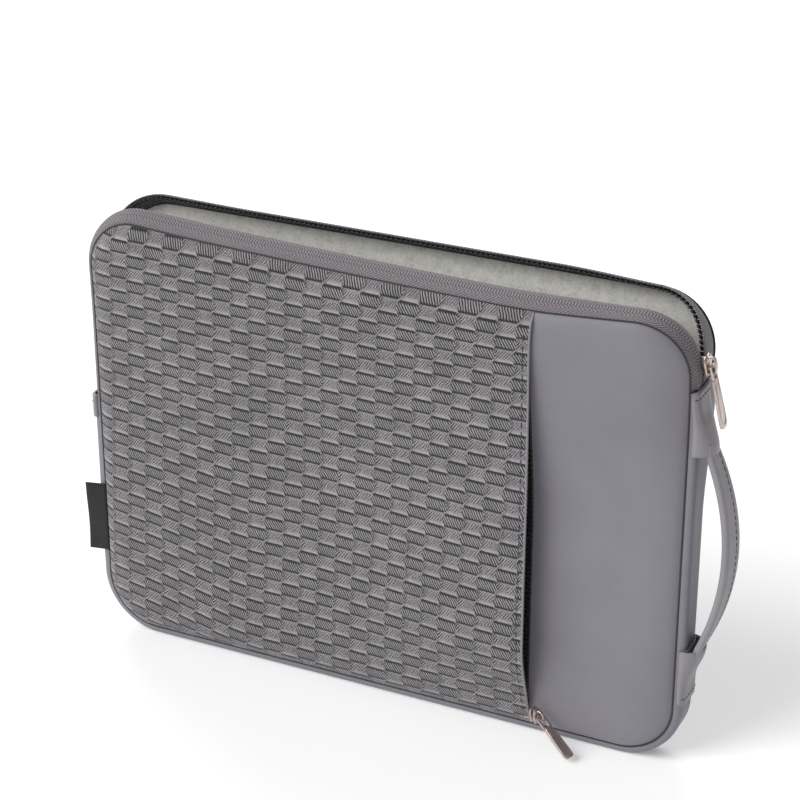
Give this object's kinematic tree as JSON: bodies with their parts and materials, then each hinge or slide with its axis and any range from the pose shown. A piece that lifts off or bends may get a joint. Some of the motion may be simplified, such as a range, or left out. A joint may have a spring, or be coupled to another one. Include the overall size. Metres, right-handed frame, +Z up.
{
  "type": "laptop sleeve",
  "caption": "Padded zip-top laptop sleeve with a patterned front tablet pocket, opening back wall, zip sliders with pulls and a side carry handle.",
  "frame": {"origin": "middle of the flat base of the gusset, where the sleeve stands", "axes": "+X towards the side with the carry handle, front with the pocket towards -Y, +Z up out of the mouth"},
  "size_m": [0.3885, 0.0663, 0.2633],
  "materials": {
    "grey_skin": "smooth grained polyurethane skin, satin",
    "pattern_fabric": "raised chequered two-tone weave, matt",
    "zip_tape": "herringbone zip tape, mauve grey",
    "zip_coil": "black nylon coil",
    "fleece": "light grey brushed lining",
    "foam": "closed-cell padding",
    "dark_lining": "thin dark woven lining",
    "pale_metal": "champagne plated zinc",
    "label_weave": "black woven ribbon, plain",
    "thread": "grey sewing thread"
  },
  "bodies": {
    "shell": {"front_panel": "grey_skin", "front_foam": "foam", "front_lining": "fleece", "back_panel_lower": "grey_skin", "back_foam_lower": "foam", "back_lining_lower": "fleece", "gusset_strip": "grey_skin", "gusset_foam": "foam", "gusset_lining": "fleece", "front_zip_tape": "zip_tape", "front_zip_coil": "zip_coil", "zip_bottom_stop": "pale_metal", "zip_end_tab": "grey_skin", "side_label": "label_weave", "pocket_panel": "pattern_fabric", "pocket_lining": "dark_lining", "pocket_binding": "grey_skin", "pocket_tape_front": "zip_tape", "pocket_coil_front": "zip_coil", "pocket_tape_rear": "zip_tape", "pocket_coil_rear": "zip_coil", "pocket_zip_stops": "pale_metal", "handle_top_anchor": "grey_skin", "handle_bottom_anchor": "grey_skin", "anchor_stitches": "thread", "end_tab_stitches": "thread", "pocket_stitches": "thread"},
    "back_flap": {"back_panel_upper": "grey_skin", "back_foam_upper": "foam", "back_lining_upper": "fleece", "back_zip_tape": "zip_tape", "back_zip_coil": "zip_coil"},
    "zip_slider": {"main_slider": "pale_metal"},
    "zip_pull": {"main_pull_tab": "pale_metal"},
    "small_slider": {"pocket_slider": "pale_metal"},
    "small_pull": {"pocket_pull_tab": "pale_metal"},
    "handle": {"handle_strap": "grey_skin", "handle_core": "foam", "handle_stitches": "thread"}
  },
  "joints": [
    {"name": "mouth", "type": "hinge", "parent": "shell", "child": "back_flap", "pos_m": [0, 0.0143, 0.15], "axis": [-1, 0, 0], "range_deg": [-10.5, 8]},
    {"name": "zip_travel", "type": "hinge", "parent": "shell", "child": "zip_slider", "pos_m": [0.145, 0, 0.229], "axis": [0, -1, 0], "range_deg": [-4, 82]},
    {"name": "zip_pull_swing", "type": "hinge", "parent": "zip_slider", "child": "zip_pull", "pos_m": [0.18233, 0, 0.23425], "axis": [0, -1, 0], "range_deg": [-2, 140]},
    {"name": "pocket_zip_travel", "type": "slide", "parent": "shell", "child": "small_slider", "axis": [0, -0.0499, 0.9988], "range_m": [0, 0.225]},
    {"name": "pocket_pull_swing", "type": "hinge", "parent": "small_slider", "child": "small_pull", "pos_m": [0.10466, -0.02192, 0.018], "axis": [-0.342, -0.9397, 0], "range_deg": [-3, 95]},
    {"name": "handle_swing", "type": "hinge", "parent": "shell", "child": "handle", "pos_m": [0.186, 0, 0.1295], "axis": [0, 0, 1], "range_deg": [-20, 20]}
  ]
}
